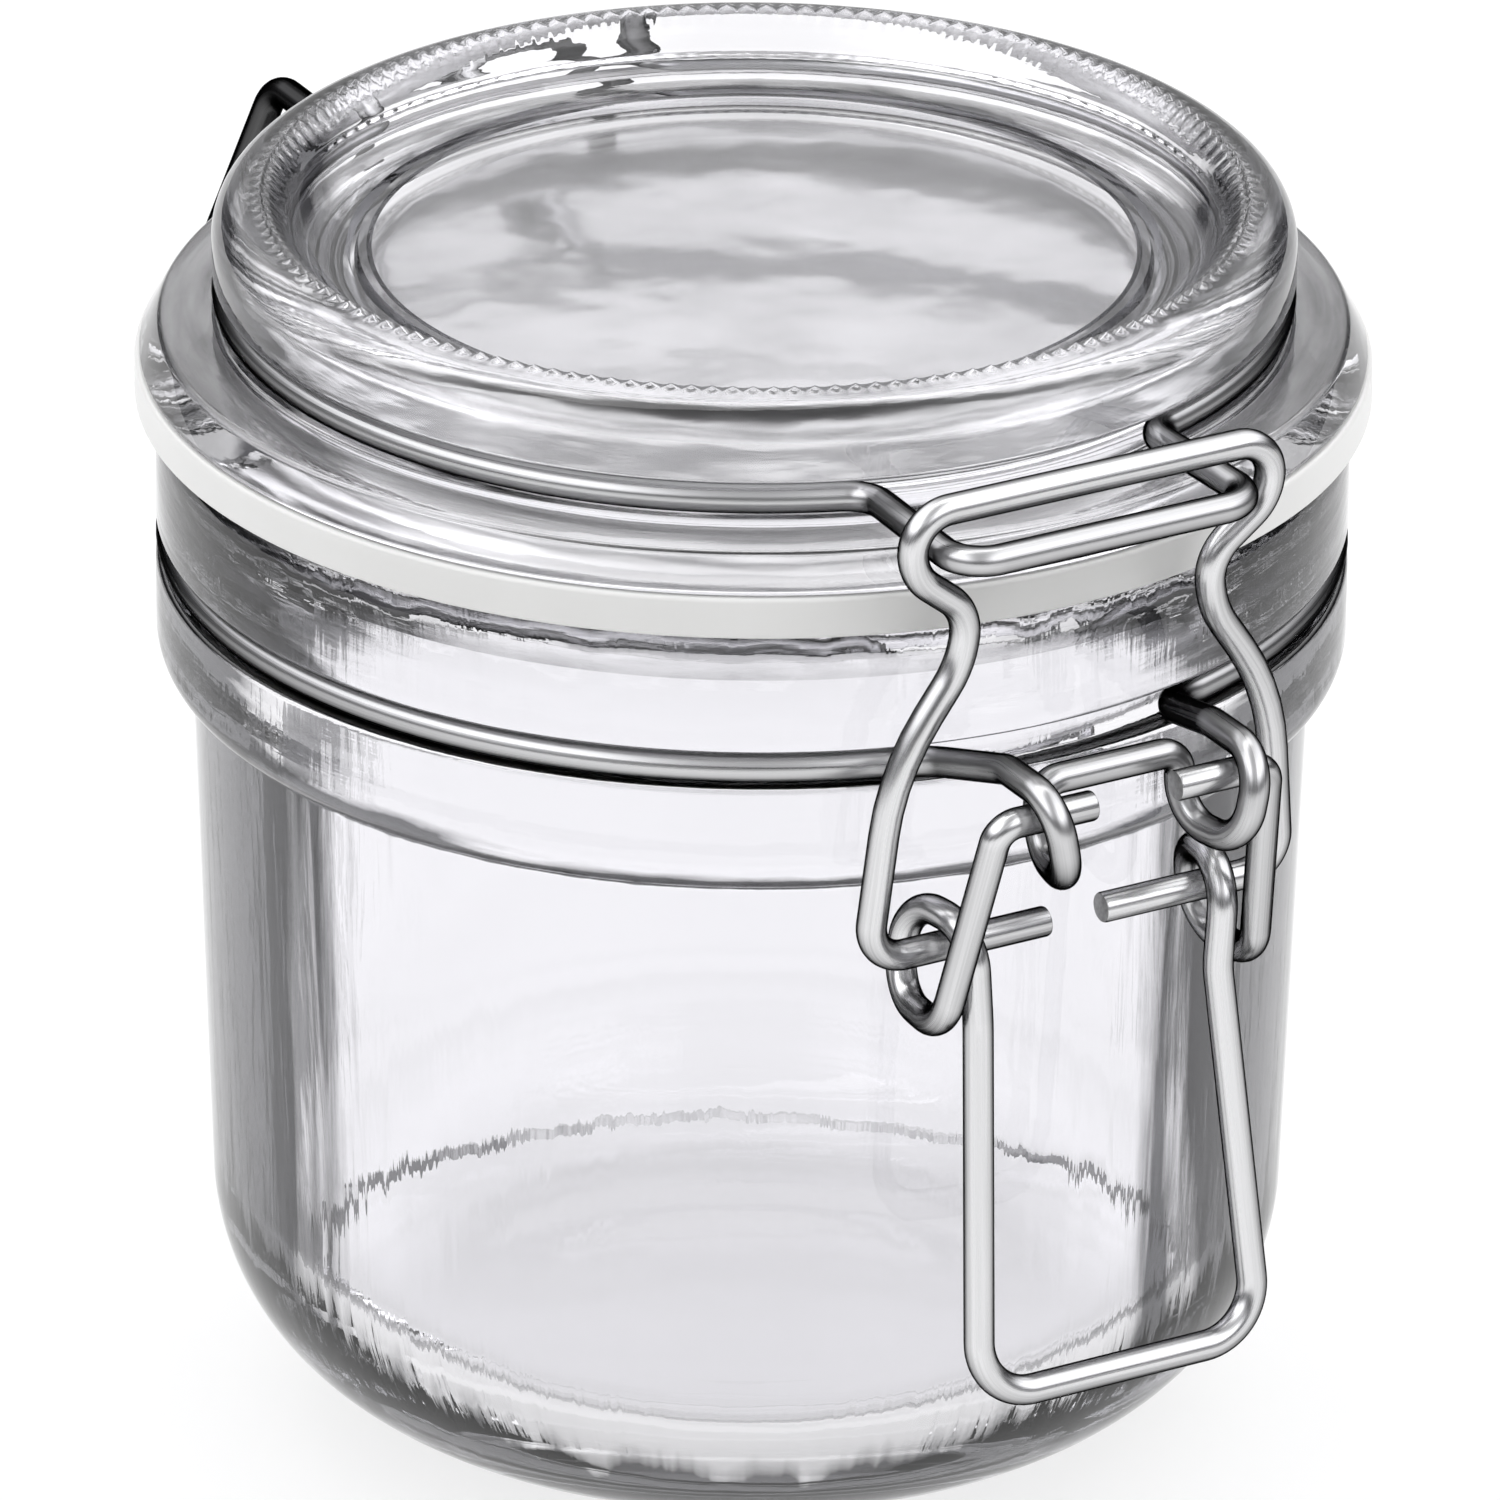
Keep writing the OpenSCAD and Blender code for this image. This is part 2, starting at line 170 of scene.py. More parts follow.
# Wires: corners of the right half of each, from the middle plane outwards, and the radius of the bend at each.
# A corner far outside stands for the wide bend round the glass. Some bends are rounder than the solids'
WIRE_R = 1.2
WIRE_SIDES = 24
WIRE_END_EASE = 0.22
BEND_STEP = 6.0
WIDE_BEND_R = 20.0
WIDE_BEND_STEP = 3.0
HINGE_LEGS_Y = 44.0
NECK_WIRE = (
    [(6.2, -54.4, 72.8), (6.2, -54.4, 67.3), (7.6, -61.6, 67.3), (9.0, -61.6, 74.5), (9.0, -54.4, 74.5),
     (10.8, -44.064, 71.6), (140.957, 0.0, 71.6), (10.8, 44.064, 71.6), (9.0, 55.9, 75.7), (9.0, 63.1, 75.7),
     (10.4, 63.1, 68.5), (11.8, 55.9, 68.5), (11.8, 55.9, 73.3)],
    [1.8, 3.3, 3.3, 3.3, 3.3, 6.0, 45.2, 3.0, 3.3, 3.3, 3.3, 3.3, 0.0],
)
LID_WIRE = (
    [(12.9, -54.2, 91.9), (12.3, -39.097, 91.9), (101.061, -1.559, 91.9), (13.5, 38.699, 91.9),
     (13.5, 52.6, 92.3), (17.0, 59.5, 73.0), (6.0, 59.5, 73.0)],
    [3.0, 3.0, 40.8, 3.0, 3.0, 3.0, 0.0],
)
BAIL = (
    [(16.0, -51.4, 95.5), (15.4, -51.125, 90.4), (10.5, -50.915, 86.5), (11.1, -50.678, 82.1),
     (16.6, -50.246, 74.1), (18.2, -49.4, 58.4), (2.4, -49.4, 58.4)],
    [3.0, 4.0, 4.0, 8.0, 20.0, 3.0, 0.0],
)
LEVER = (
    [(12.4, -57.3, 23.4), (10.6, -53.3, 53.3), (11.133, -53.3, 61.1), (12.2, -45.5, 61.1),
     (13.267, -45.5, 53.3), (13.8, -53.3, 53.3), (11.8, -58.0, 71.8), (3.6, -58.0, 71.8)],
    [4.5, 8.0, 3.6, 3.6, 3.6, 3.6, 1.8, 0.0],
)


# Ways of making

MERGE_GAP = 1e-7
SHARP_EDGE = math.radians(35.0)


def arc(centre, radius, start, end, steps):
    """Points on an arc in the profile plane, from one angle in degrees to another."""
    angles = [math.radians(start + (end - start) * i / max(steps, 1)) for i in range(steps + 1)]
    return [(centre[0] + radius * math.cos(a), centre[1] + radius * math.sin(a)) for a in angles]


def wire_groove(centre, surface_r):
    """Profile of a groove for a wire ring, its edges eased, from below to above."""
    z = centre[1]
    low = arc((surface_r - EDGE_EASE, z - GROOVE_R - EDGE_EASE), EDGE_EASE, 0, 90, 4)
    high = arc((surface_r - EDGE_EASE, z + GROOVE_R + EDGE_EASE), EDGE_EASE, -90, 0, 4)
    return low + arc(centre, GROOVE_R, 270, 90, 16) + high


def ragged(waves, around):
    """How far a ragged line strays at one place round the jar."""
    return sum(size * math.sin(count * around + start) for size, count, start in waves)


def turned(profile, segments, closed=False):
    """A bmesh of a profile turned once round the jar's axis."""
    bm = bmesh.new()
    verts = [bm.verts.new((r * MM, 0.0, z * MM)) for r, z in profile]
    ends = verts[1:] + verts[:1] if closed else verts[1:]
    edges = [bm.edges.new(pair) for pair in zip(verts, ends)]
    bmesh.ops.spin(
        bm, geom=verts + edges, cent=(0, 0, 0), axis=(0, 0, 1),
        angle=2 * math.pi, steps=segments, use_merge=True,
    )
    bmesh.ops.remove_doubles(bm, verts=bm.verts, dist=MERGE_GAP)
    bmesh.ops.recalc_face_normals(bm, faces=bm.faces)
    return bm


def bent_wire(half, radii):
    """A bmesh of one round wire, drawn straight to each corner of its route and then bent round it."""
    corners = [Vector((-x, y, z)) * MM for x, y, z in reversed(half)] + [Vector(p) * MM for p in half]
    bends = [r * MM for r in reversed(radii)] + [r * MM for r in radii]
    first = (corners[1] - corners[0]).normalized()
    bm = bmesh.new()
    round_the_wire = bm.verts.layers.float_vector.new("round")
    bmesh.ops.create_circle(bm, cap_ends=False, segments=WIRE_SIDES, radius=WIRE_R * MM)
    for vert in bm.verts:
        vert[round_the_wire] = vert.co.normalized()
    start = Matrix.Translation(corners[0]) @ first.to_track_quat("Z", "Y").to_matrix().to_4x4()
    bmesh.ops.transform(bm, matrix=start, verts=bm.verts)
    ring = bm.verts[:] + bm.edges[:]
    here = corners[0]
    for before, corner, after, radius in zip(corners, corners[1:], corners[2:], bends[1:]):
        way_in = (corner - before).normalized()
        way_out = (after - corner).normalized()
        turn = way_in.angle(way_out)
        reach = radius * math.tan(turn / 2)
        bend_start = corner - way_in * reach
        centre = bend_start + (way_out - way_in * math.cos(turn)).normalized() * radius
        axis = way_in.cross(way_out).normalized()
        step = WIDE_BEND_STEP if radius > WIDE_BEND_R * MM else BEND_STEP
        ring = bmesh.ops.spin(
            bm, geom=ring, cent=here, axis=axis, angle=0.0, dvec=bend_start - here, steps=1,
        )["geom_last"]
        ring = bmesh.ops.spin(
            bm, geom=ring, cent=centre, axis=axis, angle=turn, steps=math.ceil(math.degrees(turn) / step),
        )["geom_last"]
        here = corner + way_out * reach
    bmesh.ops.spin(bm, geom=ring, cent=here, axis=first, angle=0.0, dvec=corners[-1] - here, steps=1)
    cuts = bmesh.ops.holes_fill(bm, edges=bm.edges, sides=0)["faces"]
    for cut in cuts:
        cut.material_index = 1
    rims = [edge for cut in cuts for edge in cut.edges]
    bmesh.ops.bevel(
        bm, geom=rims, offset=WIRE_END_EASE * MM, offset_type="OFFSET",
        segments=2, profile=0.5, affect="EDGES", material=-1,
    )
    bmesh.ops.recalc_face_normals(bm, faces=bm.faces)
    return bm


def share_out(bm, finishes, finish_at):
    """Each face gets the finish that its place asks for."""
    for face in bm.faces:
        face.material_index = finishes.index(finish_at(face))


def new_piece(name, bm, materials, body, node):
    """A finished mesh becomes a smooth shaded piece that stands for a node and rides on its body."""
    mesh = bpy.data.meshes.new(name)
    bm.to_mesh(mesh)
    bm.free()
    mesh.shade_smooth()
    mesh.set_sharp_from_angle(angle=SHARP_EDGE)
    for material in materials:
        mesh.materials.append(material)
    piece = bpy.data.objects.new(name, mesh)
    bpy.context.collection.objects.link(piece)
    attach(piece, body)
    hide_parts(node)


# Materials

CLEAR = (0.905, 0.901, 0.921)
# Painted shade: the grey that glass turns where it is seen edge on
EDGE_PAINTED_SHADE = (0.03, 0.03, 0.033)


def add_node(tree, kind, sockets=None, **settings):
    """A new node, with its settings and the values of its sockets."""
    node = tree.nodes.new("ShaderNode" + kind)
    for setting, value in settings.items():
        setattr(node, setting, value)
    for socket, value in (sockets or {}).items():
        node.inputs[socket].default_value = value
    return node


def add_ramp(tree, *stops):
    """A colour ramp through two or more stops, each a position and a colour."""
    ramp = add_node(tree, "ValToRGB")
    elements = ramp.color_ramp.elements
    for element, (position, colour) in zip(elements, stops):
        element.position = position
        element.color = (*colour, 1.0)
    for position, colour in stops[2:]:
        elements.new(position).color = (*colour, 1.0)
    return ramp


def new_material(name, sockets):
    """A material, with those sockets of its shader that are the same all over it."""
    material = bpy.data.materials.new(name)
    material.use_nodes = True
    shader = material.node_tree.nodes["Principled BSDF"]
    for socket, value in sockets.items():
        shader.inputs[socket].default_value = value
    return material, material.node_tree, shader


def pressing_marks(tree, around, upright):
    """Marks of the pressing: so many to a radian round the glass, and so many to a metre up it and out."""
    place = add_node(tree, "TexCoord")
    split = add_node(tree, "SeparateXYZ")
    level = add_node(tree, "CombineXYZ")
    outward = add_node(tree, "VectorMath", operation="NORMALIZE")
    reach = add_node(tree, "VectorMath", operation="LENGTH")
    rise = add_node(tree, "Math", {1: upright}, operation="MULTIPLY")
    depth = add_node(tree, "Math", {1: upright}, operation="MULTIPLY")
    height = add_node(tree, "CombineXYZ")
    mark_at = add_node(tree, "VectorMath", {1: (around, around, around)}, operation="MULTIPLY_ADD")
    noise = add_node(
        tree, "TexNoise", {"Scale": 1.0, "Detail": 4.0, "Distortion": 0.3}, noise_dimensions="4D",
    )
    links = tree.links
    links.new(place.outputs["Object"], split.inputs[0])
    links.new(split.outputs["X"], level.inputs["X"])
    links.new(split.outputs["Y"], level.inputs["Y"])
    links.new(level.outputs["Vector"], outward.inputs[0])
    links.new(level.outputs["Vector"], reach.inputs[0])
    links.new(split.outputs["Z"], rise.inputs[0])
    links.new(reach.outputs["Value"], depth.inputs[0])
    links.new(rise.outputs["Value"], height.inputs["Z"])
    links.new(outward.outputs["Vector"], mark_at.inputs[0])
    links.new(height.outputs["Vector"], mark_at.inputs[2])
    links.new(mark_at.outputs["Vector"], noise.inputs["Vector"])
    links.new(depth.outputs["Value"], noise.inputs["W"])
    return noise.outputs["Fac"]


def cloud_marks(tree, scale):
    """Soft dents where the glass cooled unevenly."""
    place = add_node(tree, "TexCoord")
    noise = add_node(tree, "TexNoise", {"Scale": scale, "Detail": 2.0})
    tree.links.new(place.outputs["Object"], noise.inputs["Vector"])
    return noise.outputs["Fac"]


def glass_with_painted_edge_shade(name, wave, streak, painted_shade_from, painted_shade_to, pressed=None, clouds=None, roughness=0.0):
    """Pressed clear glass: its marks bend what is seen through it, and its colour has painted shade, painted
    greyer where it is seen edge on and streaked by its marks.
    """
    material, tree, shader = new_material(name, {
        "Roughness": roughness,
        "IOR": 1.5,
        "Transmission Weight": 1.0,
    })
    mark = pressing_marks(tree, *pressed) if pressed else cloud_marks(tree, clouds)
    bump = add_node(tree, "Bump", {"Strength": wave, "Distance": 0.0004})
    # Painted shade: the colour turns grey as the surface is seen more edge on
    facing = add_node(tree, "LayerWeight", {"Blend": 0.5})
    streaked = add_node(tree, "Math", {1: streak}, operation="MULTIPLY_ADD")
    painted_edge_shade = add_ramp(tree, (painted_shade_from + streak / 2, CLEAR), (painted_shade_to + streak / 2, EDGE_PAINTED_SHADE))
    links = tree.links
    links.new(mark, bump.inputs["Height"])
    links.new(mark, streaked.inputs[0])
    links.new(facing.outputs["Facing"], streaked.inputs[2])
    links.new(streaked.outputs["Value"], painted_edge_shade.inputs["Fac"])
    links.new(bump.outputs["Normal"], shader.inputs["Normal"])
    links.new(painted_edge_shade.outputs["Color"], shader.inputs["Base Color"])
    return material


def milky_rubber():
    """Pale rubber that light sinks into, with a faint cloudiness."""
    material, tree, shader = new_material("milky_rubber", {
        "Roughness": 0.35,
        "Subsurface Weight": 0.4,
        "Subsurface Radius": (0.002, 0.002, 0.002),
    })
    place = add_node(tree, "TexCoord")
    cloud = add_node(tree, "TexNoise", {"Scale": 90.0})
    colour = add_ramp(tree, (0.0, (0.72, 0.72, 0.705)), (1.0, (0.78, 0.78, 0.765)))
    tree.links.new(place.outputs["Object"], cloud.inputs["Vector"])
    tree.links.new(cloud.outputs["Fac"], colour.inputs["Fac"])
    tree.links.new(colour.outputs["Color"], shader.inputs["Base Color"])
    return material


def drawn_steel(name, painted_side_dark, light, dull, bright):
    """Drawn wire: fine lines run along it in its colour, gloss and surface; its colour has a painted highlight
    down its middle and painted shade at its sides, where it is seen edge on.
    """
    material, tree, shader = new_material(name, {
        "Metallic": 1.0,
        "Specular Tint": (0.0, 0.0, 0.0, 1.0),
    })
    around = add_node(tree, "Attribute", attribute_name="round")
    place = add_node(tree, "TexCoord")
    along = add_node(tree, "VectorMath", {"Scale": 9.0}, operation="SCALE")
    lines_at = add_node(tree, "VectorMath", operation="ADD")
    lines = add_node(tree, "TexNoise", {"Scale": 6.0, "Detail": 5.0})
    # Painted highlight and painted shade: the colour runs from light in the middle of the wire to dark at its
    # sides as it is seen more edge on, broken by the drawn lines
    facing = add_node(tree, "LayerWeight", {"Blend": 0.5})
    lines_and_painted_shade = add_node(tree, "Math", {1: 0.35}, operation="MULTIPLY_ADD")
    colour = add_ramp(tree, (0.25, (light, light, light * 1.01)), (0.95, (painted_side_dark, painted_side_dark, painted_side_dark * 1.01)))
    gloss = add_node(tree, "MapRange", {"To Min": dull, "To Max": bright})
    bump = add_node(tree, "Bump", {"Strength": 0.15, "Distance": 0.0001})
    links = tree.links
    links.new(place.outputs["Object"], along.inputs[0])
    links.new(around.outputs["Vector"], lines_at.inputs[0])
    links.new(along.outputs["Vector"], lines_at.inputs[1])
    links.new(lines_at.outputs["Vector"], lines.inputs["Vector"])
    links.new(lines.outputs["Fac"], lines_and_painted_shade.inputs[0])
    links.new(facing.outputs["Facing"], lines_and_painted_shade.inputs[2])
    links.new(lines_and_painted_shade.outputs["Value"], colour.inputs["Fac"])
    links.new(lines.outputs["Fac"], gloss.inputs["Value"])
    links.new(lines.outputs["Fac"], bump.inputs["Height"])
    links.new(colour.outputs["Color"], shader.inputs["Base Color"])
    links.new(gloss.outputs["Result"], shader.inputs["Roughness"])
    links.new(bump.outputs["Normal"], shader.inputs["Normal"])
    return material


def cut_steel():
    """The sheared end of a wire: duller and grainy."""
    material, tree, shader = new_material("cut_steel", {"Metallic": 1.0, "Roughness": 0.45})
    place = add_node(tree, "TexCoord")
    grain = add_node(tree, "TexNoise", {"Scale": 2500.0})
    colour = add_ramp(tree, (0.0, (0.2, 0.2, 0.2)), (1.0, (0.5, 0.5, 0.5)))
    tree.links.new(place.outputs["Object"], grain.inputs["Vector"])
    tree.links.new(grain.outputs["Fac"], colour.inputs["Fac"])
    tree.links.new(colour.outputs["Color"], shader.inputs["Base Color"])
    return material


# Every glass is painted greyer where it is seen edge on: painted shade that runs between its two grey stops
JAR_GLASS = glass_with_painted_edge_shade("jar_glass", 0.1, 0.5, 0.38, 0.5, pressed=(14.0, 20.0))
JAR_INSIDE = glass_with_painted_edge_shade("jar_inside", 0.4, 0.4, 0.44, 0.6, pressed=(12.0, 30.0))
JAR_FLOOR = glass_with_painted_edge_shade("jar_floor", 0.2, 0.0, 0.65, 0.9, clouds=60.0)
# Painted shade: the glass of the crease round the inner floor is painted dark grey nearly all over
CREASE_PAINTED_SHADE_GLASS = glass_with_painted_edge_shade("crease_glass_painted_shade", 0.1, 0.3, -0.15, 0.2, pressed=(20.0, 60.0))
NECK_GLASS = glass_with_painted_edge_shade("neck_glass", 0.3, 0.6, 0.34, 0.5, pressed=(3.0, 450.0))
# Painted shade: a dark band of glass under the lip
LIP_PAINTED_SHADE_GLASS = glass_with_painted_edge_shade("lip_glass_painted_shade", 0.3, 0.6, 0.0, 0.35, pressed=(3.0, 450.0))
LID_GLASS = glass_with_painted_edge_shade("lid_glass", 0.18, 0.6, 0.38, 0.58, pressed=(3.0, 350.0))
# Painted shade: the flange's top is painted greyer than its edge
FLANGE_EDGE = glass_with_painted_edge_shade("flange_edge", 0.03, 0.2, 0.65, 0.9, pressed=(3.0, 200.0))
FLANGE_TOP = glass_with_painted_edge_shade("flange_top", 0.15, 0.5, 0.3, 0.75, pressed=(3.0, 500.0))
# Painted shade: the walls of the line round the disc are painted dark grey
DISC_LINE_PAINTED_SHADE = glass_with_painted_edge_shade("disc_line_painted_shade", 0.1, 0.2, 0.0, 0.25, pressed=(3.0, 350.0))
LID_DISC = glass_with_painted_edge_shade("lid_disc", 0.12, 0.3, 0.45, 0.85, clouds=70.0)
LID_UNDERSIDE = glass_with_painted_edge_shade("lid_underside", 0.5, 0.2, 0.7, 0.9, clouds=90.0, roughness=0.1)
RUBBER = milky_rubber()
# Steel: light is the painted highlight down a wire's middle and the other colour the painted shade at its sides
RING_STEEL = drawn_steel("ring_steel", painted_side_dark=0.02, light=0.62, dull=0.36, bright=0.22)
CLASP_STEEL = drawn_steel("clasp_steel", painted_side_dark=0.05, light=0.76, dull=0.32, bright=0.2)
# A darker copy of the steel, painted shade for the hinge legs
HINGE_PAINTED_SHADE_STEEL = drawn_steel("hinge_steel_painted_shade", painted_side_dark=0.005, light=0.1, dull=0.3, bright=0.2)
CUT_STEEL = cut_steel()


# Jar


def jar_outside():
    """The jar's outer profile, from the middle of its base up to its lip."""
    heel = (BODY_LOW_R - HEEL_R, HEEL_R)
    bearing_r = heel[0] - BEARING_W
    dome_r = (bearing_r ** 2 + PUSH_UP ** 2) / (2 * PUSH_UP)
    dome_turn = math.degrees(math.asin(bearing_r / dome_r))
    ring_arc_r = NECK_R - RING_ROUND
    fillet_r = BODY_TOP_R + RING_FILLET
    fillet_z = RING_LOW_Z - math.sqrt((RING_ROUND + RING_FILLET) ** 2 - (fillet_r - ring_arc_r) ** 2)
    ring_meets = math.degrees(math.atan2(fillet_z - RING_LOW_Z, fillet_r - ring_arc_r))
    profile = arc((0.0, PUSH_UP - dome_r), dome_r, 90, 90 - dome_turn, 10)
    profile += arc(heel, HEEL_R, -90, 0, 24)
    profile += arc((fillet_r, fillet_z), RING_FILLET, 180, 180 + ring_meets, 8)
    profile += arc((ring_arc_r, RING_LOW_Z), RING_ROUND, ring_meets, 0, 12)[1:]
    profile += wire_groove((NECK_R - WIRE_R, NECK_GROOVE_Z), NECK_R)
    profile += [(NECK_R, LIP_Z - LIP_PAINTED_SHADE_H)]
    profile += arc((NECK_R - LIP_ROUND, LIP_Z - LIP_ROUND), LIP_ROUND, 0, 90, 10)
    return profile


def jar_inside():
    """The jar's inner profile, from its lip down to the middle of its floor."""
    seat_r = MOUTH_R + SEAT_W
    half_turn = math.degrees(CREASE_W / 2 / INNER_HEEL_R)
    profile = [(seat_r + SEAT_EASE, LIP_Z), (seat_r, LIP_Z - SEAT_EASE)]
    profile += [(MOUTH_R + SEAT_KNEE * SEAT_W, LIP_Z - SEAT_H / 2), (MOUTH_R, LIP_Z - SEAT_H)]
    profile += [(MOUTH_R, NECK_GROOVE_Z), (BODY_TOP_R - WALL_T, RING_LOW_Z)]
    profile += arc(INNER_HEEL, INNER_HEEL_R, 0, half_turn - CREASE_TURN, 18)
    profile += arc(INNER_HEEL, INNER_HEEL_R - CREASE_H, -CREASE_TURN, -CREASE_TURN, 0)
    profile += arc(INNER_HEEL, INNER_HEEL_R, -half_turn - CREASE_TURN, -90, 8)
    profile += [(0.0, FLOOR_Z)]
    return profile


def from_inner_heel(place):
    """How far a place lies out from the centre of the inner heel's round, below it and away from it."""
    out = math.hypot(place.x, place.y) / MM - INNER_HEEL[0]
    down = INNER_HEEL[1] - place.z / MM
    return out, down, math.hypot(out, down)


def ruffle_seat(bm):
    """The lower edge of the seat inside the mouth runs unevenly."""
    for vert in bm.verts:
        at_edge = abs(vert.co.z / MM - LIP_Z + SEAT_H) < NEAR
        if at_edge and math.hypot(vert.co.x, vert.co.y) / MM < MOUTH_R + NEAR:
            vert.co.z += ragged(SEAT_WAVES, math.atan2(vert.co.y, vert.co.x)) * MM


def ruffle_crease(bm):
    """The crease round the inner floor becomes a ragged oval that is higher on one side."""
    for vert in bm.verts:
        out, down, depth = from_inner_heel(vert.co)
        on_round = INNER_HEEL_R - 1.5 * CREASE_H < depth < INNER_HEEL_R + NEAR
        if out <= 0.0 or down <= 0.0 or not on_round:
            continue
        around = math.atan2(vert.co.y, vert.co.x)
        turn = math.degrees(math.atan2(down, out))
        share = min(turn / CREASE_TURN, (90.0 - turn) / (90.0 - CREASE_TURN))
        turn = math.radians(turn - ragged(CREASE_WAVES, around) * share)
        if depth < INNER_HEEL_R - CREASE_H / 2:
            rise = CREASE_EVEN + (1.0 - CREASE_EVEN) * math.cos(around - CREASE_HIGH)
            depth = INNER_HEEL_R - CREASE_H * rise
        vert.co.xy *= (INNER_HEEL[0] + depth * math.cos(turn)) / (INNER_HEEL[0] + out)
        vert.co.z = (INNER_HEEL[1] - depth * math.sin(turn)) * MM


def jar_glass_at(face):
    """The glass that a face of the jar has."""
    middle = face.calc_center_median()
    inwards = face.normal.dot(Vector((middle.x, middle.y, 0.0))) < 0.0
    reach = math.hypot(middle.x, middle.y) / MM
    height = middle.z / MM
    out, down, depth = from_inner_heel(middle)
    # Painted shade: faces in the crease take the dark painted glass
    if inwards and out > 0.0 and down > 0.0 and depth < INNER_HEEL_R - 0.2 * CREASE_H:
        return CREASE_PAINTED_SHADE_GLASS
    if reach < FLOOR_GLASS_R and height < FLOOR_GLASS_Z:
        return JAR_FLOOR
    if inwards:
        return JAR_INSIDE
    # Painted shade: the band under the lip takes the dark painted glass
    if height > LIP_Z - LIP_PAINTED_SHADE_H:
        return LIP_PAINTED_SHADE_GLASS
    if height > RING_LOW_Z - RING_ROUND:
        return NECK_GLASS
    return JAR_GLASS


def make_jar():
    """The jar, turned in one with its neck rings and marked as its mould left it; its glasses carry painted
    shade.
    """
    bm = turned(jar_outside() + jar_inside(), JAR_SEGMENTS)
    ruffle_seat(bm)
    ruffle_crease(bm)
    glasses = [JAR_GLASS, JAR_INSIDE, JAR_FLOOR, NECK_GLASS, LIP_PAINTED_SHADE_GLASS, CREASE_PAINTED_SHADE_GLASS]
    share_out(bm, glasses, jar_glass_at)
    new_piece("jar_pressing", bm, glasses, "jar", "jar_body")


# Lid


def lid_underside():
    """The lid's lower profile, from the middle of its web out to the flange's top edge."""
    under_r = WEB_Z - PLUG_LOW_Z
    top_round = FLANGE_T / 4
    foot_round = top_round / 2
    lean = math.degrees(math.atan((FLANGE_LOW_R - FLANGE_R) / FLANGE_T))
    foot = (FLANGE_LOW_R - foot_round, GASKET_TOP_Z + foot_round)
    top = (FLANGE_R - top_round, GASKET_TOP_Z + FLANGE_T - top_round)
    profile = [(0.0, WEB_Z)]
    profile += arc((PLUG_R - PLUG_T - under_r, PLUG_LOW_Z), under_r, 90, 0, 12)
    profile += [(PLUG_R - EDGE_EASE, PLUG_LOW_Z), (PLUG_R, PLUG_LOW_Z + EDGE_EASE), (PLUG_R, GASKET_TOP_Z)]
    profile += arc(foot, foot_round, -90, lean, 6)
    profile += arc(top, top_round, lean, 90, 6)
    return profile


def lid_top():
    """The lid's upper profile, from the foot of its rim in to the middle of the disc."""
    rim_arc = (RIM_R - RIM_ROUND, LID_TOP_Z - RIM_ROUND)
    slope = (DISC_R + DISC_LINE_W / 2, DISC_Z)
    run = rim_arc[0] - RIM_SHOULDER_W - slope[0]
    rise = LID_TOP_Z - RIM_SHOULDER_H - slope[1]
    slope_r = (run ** 2 + rise ** 2) / (2 * rise)
    slope_turn = 2 * math.degrees(math.atan(rise / run))
    line_z = DISC_Z - DISC_LINE_W
    profile = [(RIM_R + RIM_FOOT_W, GASKET_TOP_Z + FLANGE_T + RIM_FOOT_H)]
    profile += wire_groove((RIM_R - WIRE_R, LID_GROOVE_Z), RIM_R)
    profile += arc(rim_arc, RIM_ROUND, 0, 90, 14)
    profile += [(rim_arc[0] - BEAD_LOOP_GAP * i, LID_TOP_Z) for i in range(1, BEAD_LOOPS + 1)]
    profile += arc((slope[0], slope[1] + slope_r), slope_r, slope_turn - 90, -90, 14)
    profile += [(DISC_R + DISC_LINE_BED / 2, line_z), (DISC_R - DISC_LINE_BED / 2, line_z)]
    profile += [(DISC_R - DISC_LINE_W / 2, DISC_Z), (FINE_LINE_R + FINE_LINE_W / 2, DISC_Z)]
    profile += [(FINE_LINE_R, DISC_Z - FINE_LINE_H), (FINE_LINE_R - FINE_LINE_W / 2, DISC_Z)]
    profile += [(0.0, DISC_Z + DISC_DOME)]
    return profile


def raise_beads(bm):
    """A row of small beads swells from the top of the rim."""
    for vert in bm.verts:
        across = (math.hypot(vert.co.x, vert.co.y) / MM - BEAD_R) / BEAD_W
        if abs(across) < 0.5 and vert.co.z / MM > LID_TOP_Z - EDGE_EASE:
            around = math.atan2(vert.co.y, vert.co.x)
            swell = math.cos(math.pi * across) ** 2 * (0.5 + 0.5 * math.cos(BEADS * around))
            vert.co.z += BEAD_H * MM * swell


def lid_glass_at(face):
    """The glass that a face of the lid has."""
    middle = face.calc_center_median()
    reach = math.hypot(middle.x, middle.y) / MM
    if middle.z / MM < WEB_Z + NEAR and reach < PLUG_R - EDGE_EASE:
        return LID_UNDERSIDE
    if reach < FINE_LINE_R - FINE_LINE_W / 2 - NEAR:
        return LID_DISC
    # Painted shade: the walls of the disc's line take the dark painted glass
    if reach < DISC_R + DISC_LINE_W / 2 and abs(face.normal.z) < 0.9:
        return DISC_LINE_PAINTED_SHADE
    # Painted shade: the flange's top takes a greyer glass than its edge
    if reach > RIM_R + NEAR:
        return FLANGE_TOP if face.normal.z > 0.8 else FLANGE_EDGE
    return LID_GLASS


def make_lid():
    """The lid, turned in one with its flange and rim, and beaded."""
    bm = turned(lid_underside() + lid_top(), BEADS * BEAD_SEGMENTS)
    raise_beads(bm)
    glasses = [LID_GLASS, LID_UNDERSIDE, LID_DISC, DISC_LINE_PAINTED_SHADE, FLANGE_TOP, FLANGE_EDGE]
    share_out(bm, glasses, lid_glass_at)
    new_piece("lid_pressing", bm, glasses, "lid", "lid")


# Rubber ring and wires


